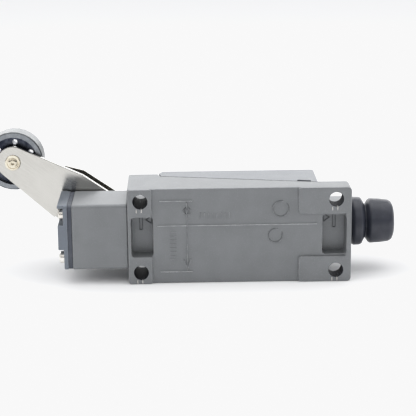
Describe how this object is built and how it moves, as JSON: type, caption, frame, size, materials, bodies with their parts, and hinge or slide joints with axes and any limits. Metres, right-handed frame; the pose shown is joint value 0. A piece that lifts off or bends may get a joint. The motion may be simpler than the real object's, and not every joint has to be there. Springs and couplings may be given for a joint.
{
  "type": "limit switch",
  "caption": "Compact die-cast limit switch with a side rotary roller lever, a screwed wedge cover, corner mounting holes and a rubber cable boot.",
  "frame": {"origin": "centre of the four mounting holes, on the recessed panel of the mounting back", "axes": "+X along the body to the cable end, -Y out of the mounting back, +Z across the body"},
  "size_m": [0.1208, 0.0319, 0.0407],
  "materials": {
    "die_cast": "blasted die casting",
    "cover_paint": "blasted die casting",
    "dark_plate": "satin",
    "seal_rubber": "matte",
    "boot_rubber": "matte",
    "plated_steel": "bright nickel plate",
    "satin_steel": "satin",
    "bronze": "sintered",
    "terminal_brass": "stamped",
    "contact_silver": "stamped",
    "black_plastic": "moulded",
    "cream_plastic": "moulded"
  },
  "bodies": {
    "housing": {"case_body": "die_cast", "head_housing": "die_cast", "cover": "cover_paint", "head_cap": "dark_plate", "cover_gasket": "seal_rubber", "head_gasket": "seal_rubber", "cap_gasket": "seal_rubber", "shaft_seal": "seal_rubber", "cable_boot": "boot_rubber", "cover_screw_1": "plated_steel", "cover_screw_2": "plated_steel", "cap_screw_1": "plated_steel", "cap_screw_2": "plated_steel", "cap_screw_3": "plated_steel", "cap_screw_4": "plated_steel", "head_screw_1": "plated_steel", "head_screw_2": "plated_steel", "switch_screw_1": "plated_steel", "switch_screw_2": "plated_steel", "terminal_screw_1": "plated_steel", "terminal_screw_2": "plated_steel", "terminal_screw_3": "plated_steel", "terminal_screw_4": "plated_steel", "ground_screw": "plated_steel", "plunger_spring": "plated_steel", "contact_spring": "plated_steel", "shaft_bush": "bronze", "plunger_guide": "bronze", "terminal_1": "terminal_brass", "terminal_2": "terminal_brass", "terminal_3": "terminal_brass", "terminal_4": "terminal_brass", "switch_base": "black_plastic", "switch_lid": "cream_plastic"},
    "lever": {"shaft": "satin_steel", "cam": "plated_steel", "lever_arm": "satin_steel", "lever_spacer": "plated_steel", "lever_washer": "plated_steel", "lever_screw": "plated_steel", "roller_rivet": "plated_steel", "roller_washer": "plated_steel"},
    "roller": {"roller": "satin_steel", "roller_bush": "bronze"},
    "plunger": {"plunger": "satin_steel"},
    "button": {"switch_button": "cream_plastic", "contact_bridge": "contact_silver"}
  },
  "joints": [
    {"name": "lever_turn", "type": "hinge", "parent": "housing", "child": "lever", "pos_m": [-0.0399, 0, 0], "axis": [0, 1, 0], "range_deg": [-70, 70], "stiffness_Nm_per_rad": 0.12},
    {"name": "roller_spin", "type": "hinge", "parent": "lever", "child": "roller", "pos_m": [-0.0658, 0, 0.01793], "axis": [0, 1, 0], "continuous": true},
    {"name": "plunger_slide", "type": "slide", "parent": "housing", "child": "plunger", "axis": [1, 0, 0], "range_m": [0, 0.0012], "stiffness_N_per_m": 2500, "springref_m": -0.0008, "deforming": ["plunger_spring"]},
    {"name": "button_slide", "type": "slide", "parent": "housing", "child": "button", "axis": [1, 0, 0], "range_m": [0, 0.0012], "deforming": ["contact_spring"]}
  ],
  "couplings": [
    {"joint": "button_slide", "follows": "plunger_slide", "ratio": 1}
  ]
}
